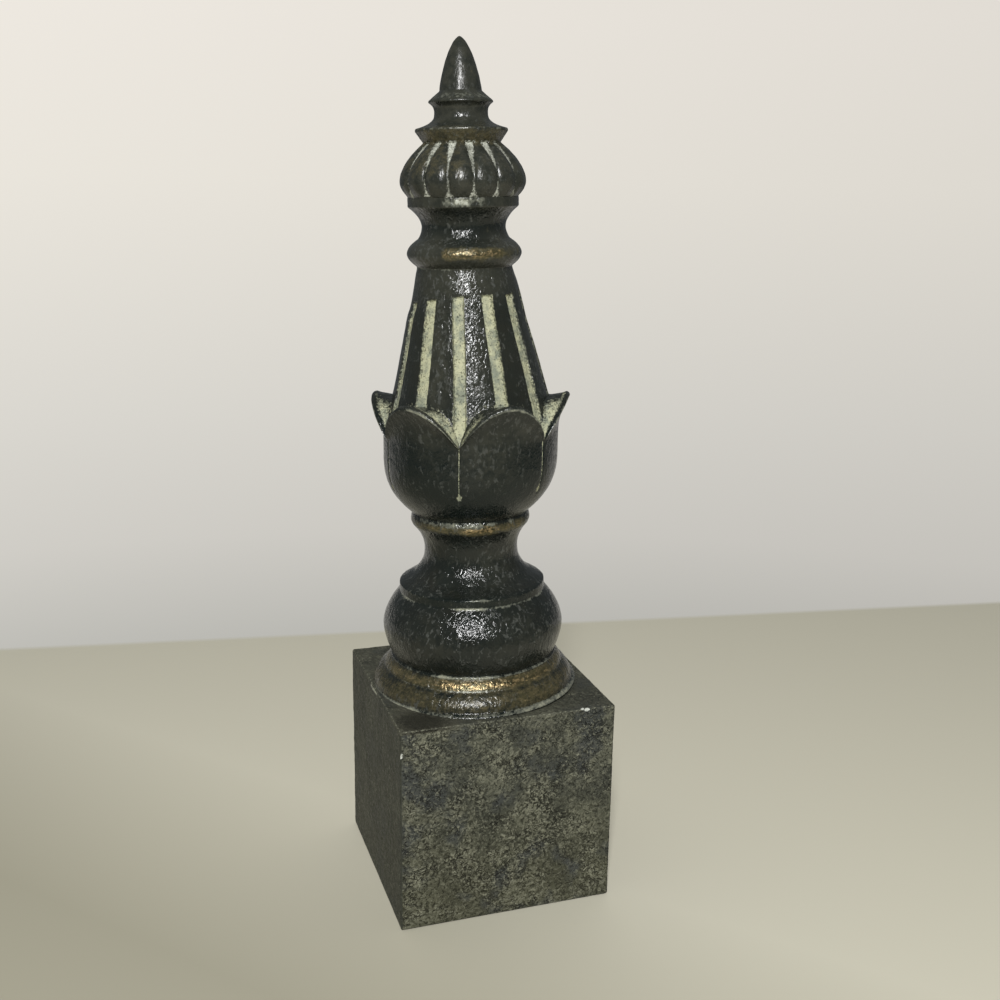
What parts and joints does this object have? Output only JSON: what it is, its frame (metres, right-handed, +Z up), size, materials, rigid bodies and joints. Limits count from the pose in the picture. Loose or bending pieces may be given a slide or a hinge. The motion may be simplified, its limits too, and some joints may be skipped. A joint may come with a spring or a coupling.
{
  "type": "finial",
  "caption": "Turned and carved finial with a petalled cup, a fluted taper and a lobed bulb, standing on a square plinth block.",
  "frame": {"origin": "the middle of the block's underside, where the part stands", "axes": "+Z up through the block; the block's four sides face +X, -X, +Y and -Y; the picture's larger visible side faces -Y and the smaller one -X"},
  "size_m": [0.089, 0.089, 0.341],
  "materials": {
    "block_paint": "crackled grey-green paint over black, satin",
    "turned_varnish": "black-green varnish with cream wash in the hollows and gilt rubbing on the rings"
  },
  "bodies": {
    "root": {"plinth_block": "block_paint", "turned_finial": "turned_varnish"}
  },
  "joints": []
}
